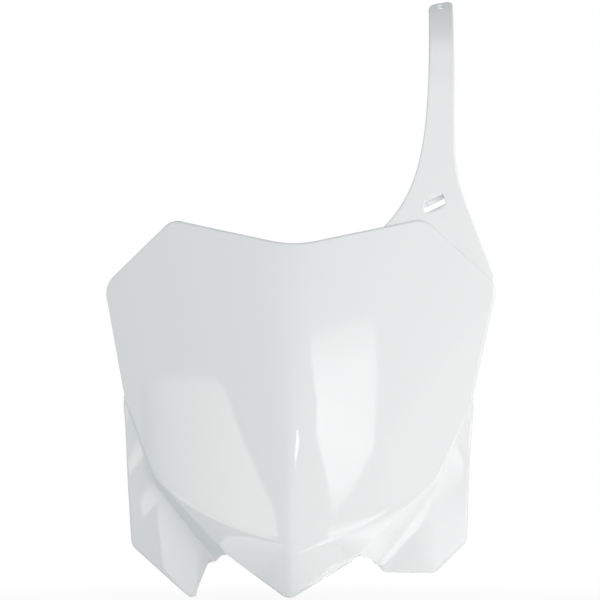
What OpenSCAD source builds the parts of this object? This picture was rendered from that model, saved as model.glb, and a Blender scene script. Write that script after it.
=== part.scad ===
// Racing number board for the front of a motocross bike: one thin moulding in glossy plastic.
// It is a shield with a rounded keel down its middle, a chin that rolls under above the lower tip,
// two wings set back behind the shield's lower edge, and a strap that leaves the upper right corner,
// loops over the handlebar and buttons onto the tongue in its own root.
// X is to the viewer's right, Y is to the back and Z is up.
// The origin is the middle of the clamp bolt's hole, on the underside of the rear shelf.

/* [Shield outline] */
// Width across the shoulders
shoulder_w = 254; // [210:1:310]
// Height of the shoulders above the lower tip
shoulder_h = 197; // [170:1:220]
// Rounding of the shoulders in the outline
shoulder_r = 14; // [6:1:22]
// Width between the two upper corners
crown_w = 164; // [130:1:200]
// Height of the upper corners above the lower tip
crown_h = 239.5; // [225:0.5:280]
// Rounding of the upper corners in the outline
crown_r = 12; // [5:1:18]
// Height of the dip in the top edge above the lower tip
dip_h = 222.5; // [190:1:236]
// Rounding of the dip in the outline
dip_r = 70; // [30:1:90]
// Width at the waist, where the wings leave the shield
waist_w = 227; // [190:1:260]
// Height of the waist above the lower tip
waist_h = 128; // [105:1:150]
// Width at the cheeks, where the lower edge turns inwards
cheek_w = 183; // [150:1:215]
// Height of the cheeks above the lower tip
cheek_h = 75; // [62:1:90]
// Width of the lip between the two notches
lip_w = 84; // [70:1:100]
// Height of the notches' inner ends above the lower tip
lip_h = 26; // [20:1:32]
// Rounding of the lower tip in the outline
tip_r = 7; // [4:0.5:10]

/* [Shield face] */
// Wall of the moulding
wall = 2.4; // [1.8:0.1:3]
// Rounding of the wall's front edge
edge_r = 1.7; // [0.8:0.1:1.9]
// Slope of the flanks beside the keel
flank_slope = 0.17; // [0.12:0.01:0.3]
// Slope of the flanks at the shoulders
outer_slope = 0.31; // [0.2:0.01:0.4]
// Rounding of the keel at the top edge
keel_top = 26; // [16:1:36]
// Rounding of the keel above the chin
keel_low = 3; // [2:0.5:12]
// Lean of the face at the lower tip, in degrees (forwards is negative)
face_lean = -1.6; // [-3:0.1:4]
// How much further the top edge curves back
top_lean = 21; // [8:0.5:26]
// Height of the chin at the keel
chin_h = 31; // [24:1:38]
// Slope by which the chin rolls under
chin_slope = 0.2; // [0.1:0.01:0.35]
// Length over which the face turns into the chin
chin_blend = 2.2; // [1:0.1:4]
// How far the face flares forwards above the chin
flare = 2; // [0.5:0.5:8]
// Height over which that flare fades
flare_h = 55; // [30:1:70]

/* [Lower edge and wings] */
// Rounding of the bend along the lower edge
bend_r = 4.2; // [3.2:0.1:5]
// Rounding where the step runs out onto a wing
step_r = 3.6; // [2.5:0.1:5]
// Slant of the step's wall from the face, in degrees
step_angle = 62; // [45:1:75]
// Drop from the shield to a wing near the waist
step_top = 3.5; // [2:0.5:6]
// Drop from the shield to a wing at the notch
step_low = 13; // [9:0.5:16]
// Length of the wall that is left below the lip's bend
lip_wall = 4; // [2:0.5:7]
// Half-width of a wing at its lower outer corner
wing_half = 108; // [98:0.5:120]
// Height of a wing's lower outer corner above the tip
wing_h = 34; // [26:1:46]
// Half-width at the right wing's flat bottom, outer end
foot_out = 88.5; // [76:1:96]
// Half-width at the right wing's flat bottom, inner end
foot_in = 57.5; // [50:1:66]
// Height of the right wing's flat bottom above the tip
foot_h = 15; // [10:1:22]
// Half-width at the left wing's point
point_half = 67.5; // [62:1:80]
// Height of the left wing's point above the tip
point_h = -3.5; // [-8:0.5:8]
// Rounding of the wings' corners
wing_r = 5; // [2:0.5:7]
// Width of the notch between the lip and the left wing
notch_left = 16.5; // [11:0.5:18]
// Width of the notch between the lip and the right wing
notch_right = 7.5; // [5:0.5:10]

/* [Strap] */
// Width of the strap along its upper part
strap_w = 15.6; // [12:0.1:20]
// Turn of the strap's face about the upright, in degrees
strap_yaw = 10; // [6:1:16]
// Place of the strap's middle, sideways from the keel
strap_at = 97.1; // [88:0.1:104]
// Height of the strap's end above the lower tip
strap_top = 380; // [330:1:430]
// How far the root flares towards the keel
root_left = 24; // [16:0.5:28]
// Height over which that flare fades
root_fade = 30; // [20:1:40]
// Slope of the root's outer edge
root_slope = 0.39; // [0.3:0.01:0.45]
// How far the strap's face sits behind the shield's face
root_step = 1.5; // [1:0.1:2]
// Lean of the strap's lower part, in degrees
strap_lean = 7; // [0:1:14]
// Radius of the bend that carries the strap over the handlebar
strap_bend = 92; // [70:1:120]
// Height of that bend's start above the lower tip
bend_h = 316; // [290:1:330]
// Slant of the strap's end, in degrees
end_slant = 14; // [0:1:24]
// Diameter of the button hole near the strap's end
button_d = 4.6; // [4:0.1:6]
// Distance of the button hole's middle from the strap's end
button_in = 5; // [4:0.1:8]

/* [Slot and tongue] */
// Length of the slot
slot_l = 15; // [12:0.5:18]
// Width of the slot
slot_w = 7.4; // [6:0.1:9]
// Height of the slot's middle above the upper corners
slot_rise = 10; // [6:0.5:18]
// Slant of the slot, in degrees
slot_slant = 26; // [10:1:35]
// Width of the tongue behind the slot
tongue_w = 3.6; // [3:0.1:4.5]
// Thickness of the tongue
tongue_t = 2.2; // [1.6:0.1:3]

/* [Rear shelf] */
// Width of the shelf for the clamp bolt
shelf_w = 34; // [28:1:44]
// Reach of the shelf behind the keel
shelf_l = 34; // [28:1:44]
// Thickness of the shelf
shelf_t = 3; // [2.4:0.1:4]
// Height of the shelf's underside above the lower tip
shelf_h = 132; // [110:1:150]
// Diameter of the clamp bolt's hole
bolt_d = 6.6; // [5.5:0.1:8.5]
// Diameter of the boss round that hole
boss_d = 15; // [12:0.5:18]
// Height of that boss above the shelf
boss_h = 2; // [1:0.5:4]
// Height of the webs that stiffen the shelf
web_h = 20; // [14:1:26]
// Thickness of those webs
web_t = 2.4; // [1.8:0.1:3]
// Distance of the bolt hole's middle from the shelf's rear end
bolt_in = 12; // [10:0.5:16]

/* [Hidden] */
$fn = 48;
shelf_end_r = 9;
heart = [0, 0.48 * crown_h];
face_rows = 6;
edge_rows = 9;
edge_band = 5.5;
crest_r = 7;
free_edge = -1;
on_lip = 2;
side_step = 22;
lip_step = 9;
neck_left = 7;
neck_right = 1;
tuck = 1.5;
strap_cols = 6;
strap_rows = 26;
strap_edge = 1;
strap_end_r = 4;
strap_plane = 5;
root_blend = 34;
root_start = 26;
root_soft = 7.5;
root_sunk = 9;
root_in = 2.4;
lean_soft = 6;
slot_in = 5.5;
tongue_gap = 2;

// Helpers
function unit(v) = v / norm(v);
function ease(t) = let(c = max(0, min(1, t))) c * c * (3 - 2 * c);
function soft(t, k) = t > 20 * k ? t : k * ln(1 + exp(t / k));
function mix(a, b, t) = a + (b - a) * t;

// Arc of radius r that rounds the corner p between its neighbours a and b
function corner(a, p, b, r, n) =
    let(u = unit(a - p), v = unit(b - p), half = acos(u * v) / 2,
        c = p + unit(u + v) * r / sin(half),
        from = p + u * r / tan(half) - c, to = p + v * r / tan(half) - c,
        start = atan2(from[1], from[0]),
        turn = (from[0] * to[1] - from[1] * to[0] > 0 ? 1 : -1) * (180 - 2 * half))
    [for (i = [0:n]) c + r * [cos(start + turn * i / n), sin(start + turn * i / n)]];

// Points between two points, both left out, at most step apart
function between(a, b, step) =
    let(n = ceil(norm(b - a) / step)) [for (i = [1:1:n - 1]) mix(a, b, i / n)];

// Joins rounded corners by straight runs with points at most step apart
function run(arcs, step) =
    [for (i = [0:len(arcs) - 1])
        each concat(arcs[i], i < len(arcs) - 1
            ? between(arcs[i][len(arcs[i]) - 1], arcs[i + 1][0], step) : [])];

function flip(points) = [for (i = [len(points) - 1:-1:0]) [-points[i][0], points[i][1]]];
function lengths(points, i = 1, sum = [0]) =
    i == len(points) ? sum
        : lengths(points, i + 1, concat(sum, [sum[i - 1] + norm(points[i] - points[i - 1])]));
function along(points, marks, s) =
    let(i = min(len(points) - 2, max(0, len([for (m = marks) if (m <= s) m]) - 1)),
        t = (s - marks[i]) / (marks[i + 1] - marks[i]))
    mix(points[i], points[i + 1], max(0, min(1, t)));

// Corners of the shield, right half
tip = [0, 0];
lip = [lip_w / 2, lip_h];
cheek = [cheek_w / 2, cheek_h];
waist = [waist_w / 2, waist_h];
shoulder = [shoulder_w / 2, shoulder_h];
crown = [crown_w / 2, crown_h];
dip = [0, dip_h];
across = [-1, 1];

// The face of the shield as depth behind the keel
function keel(x, z) =
    let(up = max(0, min(1.1, (z - 1.6 * chin_h) / (dip_h - 1.6 * chin_h))),
        c = mix(keel_low, keel_top, up * up))
    sqrt(x * x + c * c) - c;
bend_out = (flank_slope - outer_slope) / shoulder_w;
function flank(x, z) = let(r = keel(x, z)) flank_slope * r - bend_out * r * r;
function lean(z) = tan(face_lean) * z + top_lean * pow(z / crown_h, 2);
function crest(x) =
    let(t = (sqrt(x * x + crest_r * crest_r) - crest_r) / (cheek_w / 2)) mix(chin_h, cheek_h, t / 3 + 2 * t * t / 3);
function chin(x, z) =
    let(up = z - crest(x))
    chin_slope * soft(-up, chin_blend)
        - flare * exp(-pow(x / (0.6 * shoulder_w / 2), 2) - soft(up, chin_blend) / flare_h);
function face(x, z) = flank(x, z) + lean(z) + chin(x, z);

// Lower edge of the right half, from the waist down to the notch
lower_edge = run([[waist], corner(waist, cheek, lip, 30, 3), [lip]], 4);
lower_marks = lengths(lower_edge);
lower_length = lower_marks[len(lower_marks) - 1];

// Outlines of the wings on the right side of the keel, from the waist round to the notch
right_wing = let(corner_out = [wing_half, wing_h], foot_1 = [foot_out, foot_h],
        foot_2 = [foot_in, foot_h], neck = [lip_w / 2 + notch_right, lip_h - neck_right],
        inner = lip + [tuck, 0])
    run([[waist], corner(waist, corner_out, foot_1, wing_r, 3),
        corner(corner_out, foot_1, foot_2, wing_r / 2, 2), corner(foot_1, foot_2, neck, wing_r / 2, 2),
        corner(foot_2, neck, inner, wing_r / 2, 3), [inner]], lip_step);
left_wing = let(corner_out = [wing_half, wing_h], point = [point_half, point_h],
        neck = [lip_w / 2 + notch_left, lip_h - neck_left],
        rise = [lip_w / 2 + 0.4 * notch_left, lip_h], inner = lip + [tuck, 0])
    run([[waist], corner(waist, corner_out, point, wing_r, 3),
        corner(corner_out, point, neck, wing_r / 1.6, 5), corner(point, neck, rise, wing_r, 3),
        corner(neck, rise, inner, wing_r / 2, 2), [inner]], lip_step);

// A column is [edge point, outline point, share of the way from the waist down to the notch].
// The share is free_edge where there is no wing at all, and on_lip where the wall ends as a lip.
function wing_columns(wing) =
    let(marks = lengths(wing), total = marks[len(marks) - 1])
    [for (i = [1:len(wing) - 1]) let(q = marks[i] / total)
        [along(lower_edge, lower_marks, q * lower_length), wing[i], q]];
function mirrored(columns) =
    [for (i = [len(columns) - 1:-1:0]) let(c = columns[i]) [flip([c[0]])[0], flip([c[1]])[0], c[2]]];
function backwards(columns) = [for (i = [len(columns) - 1:-1:0]) columns[i]];

lip_run = run([corner(flip([lip])[0], tip, lip, tip_r, 6), [lip]], lip_step);
lip_half = [for (i = [4:len(lip_run) - 2]) [lip_run[i], lip_run[i], on_lip]];
tip_column = [lip_run[3], lip_run[3], on_lip];
upper = run([[waist], corner(waist, shoulder, crown, shoulder_r, 5),
    corner(shoulder, crown, dip, crown_r, 4), corner(crown, dip, flip([crown])[0], dip_r, 6)], side_step);
upper_half = [for (i = [0:len(upper) - 5]) [upper[i], upper[i], free_edge]];
dip_column = [upper[len(upper) - 4], upper[len(upper) - 4], free_edge];
columns = concat([tip_column], lip_half, backwards(wing_columns(right_wing)), upper_half,
    [dip_column], mirrored(upper_half), mirrored(backwards(wing_columns(left_wing))),
    mirrored(lip_half));
count = len(columns);

function edge_at(i) = columns[(i + count) % count][0];
function outward(i) = let(d = edge_at(i + 1) - edge_at(i - 1)) unit([d[1], -d[0]]);

// Section across the lower edge, with its bend, wall and run-out, at length t along it
function drop_at(q) = q < 0 ? 0 : q > 1 ? step_low : mix(step_top, step_low, pow(q, 2.2)) * ease(q * 9);
function bend_angle(drop) = min(step_angle, acos(max(-1, 1 - drop / (bend_r + step_r))));
function wall_run(drop) =
    max(0, drop - (bend_r + step_r) * (1 - cos(step_angle))) / sin(step_angle);
function section(t, drop) =
    let(angle = bend_angle(drop), high = wall_run(drop),
        lead = edge_band - bend_r * sin(angle), a = bend_r * angle * PI / 180,
        b = a + high, c = b + step_r * angle * PI / 180, s = t - lead)
    s < 0 ? [t - edge_band, 0]
    : s < a ? let(v = s / bend_r * 180 / PI) [bend_r * (sin(v) - sin(angle)), bend_r * (1 - cos(v))]
    : s < b ? [(s - a) * cos(angle), bend_r * (1 - cos(angle)) + (s - a) * sin(angle)]
    : s < c ? let(v = angle - (s - b) / step_r * 180 / PI)
        [high * cos(angle) + step_r * (sin(angle) - sin(v)), drop - step_r * (1 - cos(v))]
    : [high * cos(angle) + step_r * sin(angle) + s - c, drop];

// Length along that section where it is out at distance d from the edge
function reach(d, drop) =
    let(angle = bend_angle(drop), high = wall_run(drop),
        whole = high * cos(angle) + step_r * sin(angle),
        extra = high * (1 - cos(angle)) + (bend_r + step_r) * (angle * PI / 180 - sin(angle)),
        u = max(0, min(1, (d + bend_r * sin(angle)) / (whole + bend_r * sin(angle)))))
    edge_band + d + extra * u;

// Length along that section where the run-out ends
function run_out(drop) =
    let(angle = bend_angle(drop))
    edge_band - bend_r * sin(angle) + wall_run(drop) + (bend_r + step_r) * angle * PI / 180;

// Points of column i on the front of the wall, from the heart outwards
function place(i, d) =
    let(c = columns[i], e = c[0], o = c[1], n = outward(i), to_heart = unit(heart - e))
    d <= 0 || c[2] < 0 ? e + to_heart * d / (n * to_heart)
    : c[2] > 1 ? e + n * d
    : e + (o - e) * d / max(0.01, (o - e) * n);
function front_column(i) =
    let(c = columns[i], e = c[0], n = outward(i), drop = drop_at(c[2]),
        out = c[2] < 0 || c[2] > 1 ? 0 : (c[1] - e) * n,
        bend = bend_r * step_angle * PI / 180,
        last = c[2] > 1 ? edge_band - bend_r * sin(step_angle) + bend + lip_wall
            : reach(out - edge_r, drop),
        knee = min(run_out(drop), 0.8 * last), inner = place(i, -edge_band), base = chin(e[0], e[1]))
    concat(
        [for (j = [1:face_rows]) let(p = mix(heart, inner, pow(j / face_rows, 0.85)))
            [p[0], face(p[0], p[1]), p[1]]],
        [for (j = [1:edge_rows])
            let(t = j < edge_rows - 1 ? knee * j / (edge_rows - 2) : mix(knee, last, (j - edge_rows + 2) / 2),
                s = section(t, drop), p = place(i, s[0]))
            [p[0], (s[0] <= 0 ? face(p[0], p[1]) : flank(p[0], p[1]) + lean(p[1]) + base) + s[1], p[1]]]);
fronts = [for (i = [0:count - 1]) front_column(i)];
rows = face_rows + edge_rows;
heart_point = [heart[0], face(heart[0], heart[1]), heart[1]];

// Normals out of the front, and the rounded rim that joins the front to the back
function front_at(i, j) = j < 0 ? heart_point : fronts[(i + count) % count][j];
function normal_at(i, j) =
    unit(cross(front_at(i, min(j + 1, rows - 1)) - front_at(i, j - 1),
        front_at(i + 1, j) - front_at(i - 1, j)));
function back_at(i, j) = front_at(i, j) - wall * normal_at(i, j);
function rim(i) =
    let(p = front_at(i, rows - 1), n = normal_at(i, rows - 1),
        side = unit(front_at(i + 1, rows - 1) - front_at(i - 1, rows - 1)), out = cross(side, n))
    [for (v = [30, 60, 90]) p + out * edge_r * sin(v) - n * edge_r * (1 - cos(v))];

ring = 2 * rows + 3;
shell_points = concat([heart_point, heart_point + [0, wall, 0]],
    [for (i = [0:count - 1]) each concat(fronts[i], rim(i),
        [for (j = [rows - 1:-1:0]) back_at(i, j)])]);
shell_faces = [for (i = [0:count - 1]) let(a = 2 + i * ring, b = 2 + ((i + 1) % count) * ring)
    each concat([[0, b, a]], [[1, a + ring - 1, b + ring - 1]],
        [for (j = [0:ring - 2]) each [[a + j, b + j, b + j + 1], [a + j, b + j + 1, a + j + 1]]])];

module shell() {
    polyhedron(points = shell_points, faces = shell_faces, convexity = 8);
}

// The strap is worked out in its own upright plane, turned by strap_yaw: u runs across it, h back
// from it and z up. Its root follows the shield's face and its upper part bends back.
function face_in_plane(u, z) =
    let(x = u * cos(strap_yaw) - strap_plane * sin(strap_yaw))
    face(x, z) * cos(strap_yaw) - x * sin(strap_yaw);
strap_start = face_in_plane(strap_at, crown_h) + root_step;
bend_start = strap_start + tan(strap_lean) * (bend_h - crown_h);
function strap_angle(z) =
    z < bend_h ? strap_lean : asin(min(0.97, sin(strap_lean) + (z - bend_h) / strap_bend));
function strap_depth(z) =
    z < bend_h ? strap_start + tan(strap_lean) * soft(z - crown_h, lean_soft)
        : bend_start + strap_bend * (cos(strap_lean) - cos(strap_angle(z)));
function sheet_depth(u, z) =
    mix(face_in_plane(u, z) + root_step, strap_depth(z), ease((z - crown_h) / root_blend));
root_limit = (shoulder_w / 2 - root_in) * cos(strap_yaw)
    + face(shoulder_w / 2, shoulder_h) * sin(strap_yaw);
function strap_left(z) =
    strap_at - strap_w / 2 - root_left * exp(-(z - crown_h - 1) / root_fade);
function strap_right(z) =
    min(root_limit, strap_at + strap_w / 2 + root_slope * soft(crown_h + root_start - z, root_soft));

end_angle = strap_angle(strap_top);
function end_height(u) =
    let(side = abs(u - strap_at) - (strap_w / 2 - strap_end_r),
        s = max(0, min(strap_end_r, side)))
    strap_top + cos(end_angle) * (tan(end_slant) * (u - strap_at) - strap_end_r
        + sqrt(strap_end_r * strap_end_r - s * s));
function root_height(a) = mix(crown_h - root_sunk, shoulder_h, a);
function strap_front(a, t) =
    let(z0 = root_height(a), z1 = end_height(mix(strap_at - strap_w / 2, strap_at + strap_w / 2, a)),
        z = mix(z0, z1, t), u = mix(strap_left(z) + strap_edge, strap_right(z) - strap_edge, a))
    [u, sheet_depth(u, z), z];
function strap_normal(a, t) =
    let(e = 0.02, across = strap_front(min(1, a + e), t) - strap_front(max(0, a - e), t),
        up = strap_front(a, min(1, t + e)) - strap_front(a, max(0, t - e)))
    unit(cross(across, up));
function strap_side(a, t) =
    let(p = strap_front(a, t), n = strap_normal(a, t), out = (a > 0.5 ? 1 : -1) * [1, 0, 0],
        m = p - n * wall / 2)
    [for (v = a > 0.5 ? [45, 90, 135] : [135, 90, 45]) m + out * strap_edge * sin(v) + n * cos(v) * wall / 2];
function strap_ring(t) =
    concat([for (k = [0:strap_cols]) strap_front(k / strap_cols, t)], strap_side(1, t),
        [for (k = [strap_cols:-1:0])
            strap_front(k / strap_cols, t) - wall * strap_normal(k / strap_cols, t)],
        strap_side(0, t));
strap_ring_size = 2 * (strap_cols + 1) + 6;
strap_points = [for (j = [0:strap_rows]) each strap_ring(j / strap_rows)];
last_ring = strap_rows * strap_ring_size;
strap_faces = concat(
    [for (j = [0:strap_rows - 1], k = [0:strap_ring_size - 1])
        let(a = j * strap_ring_size + k, b = j * strap_ring_size + (k + 1) % strap_ring_size)
        each [[a, a + strap_ring_size, b + strap_ring_size], [a, b + strap_ring_size, b]]],
    end_cap(0, false), end_cap(last_ring, true));
// Cap across a ring, from its left middle to its right middle
function end_cap(first, top) =
    let(n = strap_ring_size, left = n - 2, pairs = n / 2 - 1,
        up = [for (k = [0:pairs]) first + (left + k) % n],
        down = [for (k = [0:pairs]) first + (left - k + n) % n],
        raw = concat([[up[0], up[1], down[1]]],
            [for (k = [1:pairs - 1]) each [[up[k], up[k + 1], down[k + 1]], [up[k], down[k + 1], down[k]]]],
            [[up[pairs], first + (left + pairs + 1) % n, down[pairs]]]))
    [for (f = raw) top ? [f[2], f[1], f[0]] : f];

module in_plane(u, h, z) {
    rotate([0, 0, strap_yaw]) translate([u, h, z]) children();
}

module strap() {
    in_plane(0, 0, 0) polyhedron(points = strap_points, faces = strap_faces, convexity = 6);
}

// Slot in the strap's root and the tongue that stands behind it
slot_u = strap_at - slot_in;
slot_h = crown_h + slot_rise;
slot_back = sheet_depth(slot_u, slot_h) + wall;
module slot_cut() {
    in_plane(slot_u, slot_back + 6, slot_h) rotate([90, -slot_slant, 0])
        linear_extrude(height = 16) offset(r = 1.2) offset(delta = -1.2)
            polygon([[-slot_l / 2 - 0.2 * slot_w, -slot_w / 2], [slot_l / 2 - 0.1 * slot_w, -slot_w / 2],
                [slot_l / 2, slot_w / 2], [-slot_l / 2 + 0.3 * slot_w, slot_w / 2]]);
}
module tongue() {
    in_plane(slot_u, slot_back, slot_h) rotate([0, -slot_slant, 0]) {
        translate([-slot_l / 2 - 2.2, -wall / 2, -tongue_w / 2])
            cube([4.4, wall / 2 + tongue_gap + tongue_t, tongue_w]);
        translate([-slot_l / 2, tongue_gap, 0]) rotate([-90, 0, 0]) linear_extrude(height = tongue_t) hull() {
            square(tongue_w, center = true);
            translate([slot_l - tongue_w / 2, 0]) circle(d = tongue_w);
        }
    }
}
module button_hole() {
    z = strap_top - button_in * cos(end_angle);
    in_plane(strap_at, strap_depth(z), z) rotate([90 - strap_angle(z), 0, 0])
        cylinder(d = button_d, h = 5 * wall, center = true);
}

// Shelf on the back of the keel, with the clamp bolt's boss and two webs
bolt_at = shelf_l - bolt_in;
function inside(x, z) = face(x, z) + wall / 2;
module shelf() {
    half = shelf_w / 2;
    front_edge = [for (x = [-half:half / 4:half + 0.01]) [x, inside(x, shelf_h)]];
    rear = concat(corner([half, 0], [half, shelf_l], [0, shelf_l], shelf_end_r, 6),
        corner([0, shelf_l], [-half, shelf_l], [-half, 0], shelf_end_r, 6));
    translate([0, 0, shelf_h]) linear_extrude(height = shelf_t) polygon(concat(front_edge, rear));
    translate([0, bolt_at, shelf_h + shelf_t / 2]) cylinder(d = boss_d, h = shelf_t / 2 + boss_h);
    for (side = across) web(side * (half - web_t / 2 - 1));
}
module web(x) {
    low = shelf_h + shelf_t / 2;
    high = shelf_h + shelf_t + web_h;
    wall_side = [for (z = [low:(high - low) / 5:high + 0.01]) [inside(x, z), z]];
    translate([x + web_t / 2, 0, 0]) rotate([90, 0, -90]) linear_extrude(height = web_t)
        polygon(concat([for (p = wall_side) [-p[0], p[1]]],
            [[-inside(x, high) - 2, high], [-bolt_at, shelf_h + shelf_t + 1.5], [-bolt_at - 4, low]]));
}

module number_board() {
    color("white") translate([0, -bolt_at, -shelf_h]) difference() {
        union() {
            shell();
            difference() {
                strap();
                slot_cut();
            }
            tongue();
            shelf();
        }
        button_hole();
        translate([0, bolt_at, shelf_h - 1]) cylinder(d = bolt_d, h = shelf_t + boss_h + 2);
    }
}

number_board();
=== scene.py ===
"""Racing number board for a motocross bike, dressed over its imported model."""

import math

import bpy
import numpy as np
from bpy.props import FloatProperty, FloatVectorProperty, PointerProperty
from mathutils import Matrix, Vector


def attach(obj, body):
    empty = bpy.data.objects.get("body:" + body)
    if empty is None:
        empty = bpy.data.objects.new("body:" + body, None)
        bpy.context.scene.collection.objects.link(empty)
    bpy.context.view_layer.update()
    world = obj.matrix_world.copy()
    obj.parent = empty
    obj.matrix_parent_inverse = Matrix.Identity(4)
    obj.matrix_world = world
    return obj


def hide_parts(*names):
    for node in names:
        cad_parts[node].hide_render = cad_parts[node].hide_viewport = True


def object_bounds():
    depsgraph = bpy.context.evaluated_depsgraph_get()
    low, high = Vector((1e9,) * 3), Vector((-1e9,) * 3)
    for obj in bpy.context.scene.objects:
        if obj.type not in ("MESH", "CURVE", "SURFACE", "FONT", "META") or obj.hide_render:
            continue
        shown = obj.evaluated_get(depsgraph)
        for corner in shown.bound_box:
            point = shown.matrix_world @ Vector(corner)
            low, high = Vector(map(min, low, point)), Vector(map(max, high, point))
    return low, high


bl_info = {
    "name": "Racing number board",
    "version": (1, 0, 0),
    "blender": (4, 5, 0),
    "location": "3D View > Sidebar > Number board",
    "description": "Moulded number board with its strap, tongue and clamp shelf",
    "category": "Add Mesh",
}

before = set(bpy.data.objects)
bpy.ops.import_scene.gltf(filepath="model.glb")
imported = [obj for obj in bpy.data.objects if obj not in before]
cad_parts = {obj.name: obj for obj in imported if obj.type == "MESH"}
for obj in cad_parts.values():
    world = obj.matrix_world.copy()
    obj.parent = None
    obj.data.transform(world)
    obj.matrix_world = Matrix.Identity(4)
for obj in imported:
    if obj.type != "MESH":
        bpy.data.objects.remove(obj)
CAD_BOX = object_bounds()
# The board's middle, the studio floor and the cloth above it (m), with their half-widths
MIDDLE = (0, -0.007, 0.058)
FLOOR = CAD_BOX[0][2] - 0.012
CEILING = 3.4
FLOOR_HALF, CEILING_HALF = 6.0, 3.0
# Width of the view at the board, and where its axis passes the middle (m)
VIEW_WIDTH = 0.381
AIM_RIGHT, AIM_UP = 0.00373, -0.00171

# Each row is a name, its value in millimetres, its label and what it is. Heights start from the base,
# which is the lower tip of the solid board.
SHIELD = (
    ("shoulder_w", 256, "Shoulder width", "Width across the shoulders"),
    ("shoulder_h", 197.8, "Shoulder height", "Height of the shoulders above the base"),
    ("shoulder_r", 14, "Shoulder rounding", "Rounding of the shoulders in the outline"),
    ("crown_w", 164, "Crown width", "Width between the two upper corners"),
    ("crown_h", 240.1, "Crown height", "Height of the upper corners above the base"),
    ("crown_r", 12, "Crown rounding", "Rounding of the upper corners in the outline"),
    ("dip_h", 223.1, "Dip height", "Height of the dip in the top edge"),
    ("dip_r", 70, "Dip rounding", "Rounding of the dip in the outline"),
    ("waist_w", 227, "Waist width", "Width at the waist, where the wings leave the shield"),
    ("waist_h", 128, "Waist height", "Height of the waist above the base"),
    ("cheek_w", 183, "Cheek width", "Width at the cheeks, where the lower edge turns inwards"),
    ("cheek_h", 75, "Cheek height", "Height of the cheeks above the base"),
    ("cheek_r", 30, "Cheek rounding", "Rounding of the lower edge at the cheeks"),
    ("lip_w", 84, "Lip width", "Width of the lip between the two notches"),
    ("lip_h", 26, "Lip height", "Height of the notches' inner ends above the base"),
    ("tip_r", 7, "Tip rounding", "Rounding of the lower tip in the outline"),
    ("tip_side", 2.2, "Tip shift", "How far the lower tip lies to the viewer's left of the keel"),
    ("tip_drop", 1.6, "Tip drop", "How far the lower tip reaches below the base"),
    ("wall", 2.4, "Wall", "Wall of the moulding"),
    ("edge_r", 1.7, "Edge rounding", "Rounding of the wall's front edge"),
    ("keel_top", 26, "Keel rounding, top", "Rounding of the keel at the top edge"),
    ("keel_low", 3, "Keel rounding, low", "Rounding of the keel above the chin"),
    ("top_lean", 21, "Top curve", "How much further the top edge curves back"),
    ("chin_h", 31, "Chin height", "Height of the chin at the keel"),
    ("crest_r", 7, "Crest rounding", "Rounding of the chin's crest at the keel"),
    ("chin_blend", 2.2, "Chin blend", "Length over which the face turns into the chin"),
    ("flare", 2, "Flare", "How far the face flares forwards above the chin"),
    ("flare_h", 55, "Flare height", "Height over which that flare fades"),
)
WINGS = (
    ("bend_r", 1.5, "Bend rounding", "Rounding of the bend along the lower edge"),
    ("step_r", 1.8, "Run-out rounding", "Rounding where the step runs out onto a wing"),
    ("step_top", 1.2, "Step at the waist", "Drop from the shield to a wing near the waist"),
    ("step_low", 13, "Step at the notch", "Drop from the shield to a wing at the notch"),
    ("lip_wall", 4, "Lip wall", "Length of the wall left below the lip's bend"),
    ("wing_half", 108, "Wing half-width", "Half-width of a wing at its lower outer corner"),
    ("wing_h", 34, "Wing height", "Height of a wing's lower outer corner above the base"),
    ("foot_out", 88.5, "Right wing, outer end", "Half-width at the flat bottom's outer end"),
    ("foot_in", 57.5, "Right wing, inner end", "Half-width at the flat bottom's inner end"),
    ("foot_h", 15, "Right wing, bottom", "Height of the right wing's flat bottom"),
    ("point_half", 67.5, "Left wing, point", "Half-width at the left wing's point"),
    ("point_h", -4.6, "Left wing, height", "Height of the left wing's point above the base"),
    ("wing_drop", 4.2, "Left wing, corner", "How much lower the left wing's outer corner lies"),
    ("fold_w", 2.6, "Fold width", "Width of the left wing's folded inner edge"),
    ("wing_r", 5, "Wing rounding", "Rounding of the wings' corners"),
    ("notch_left", 16.5, "Left notch", "Width of the notch beside the left wing"),
    ("notch_right", 7.5, "Right notch", "Width of the notch beside the right wing"),
    ("neck_left", 7, "Left neck", "Drop of the left notch's outer end below the lip's corner"),
    ("neck_right", 1, "Right neck", "Drop of the right notch's outer end below that corner"),
)
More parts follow.
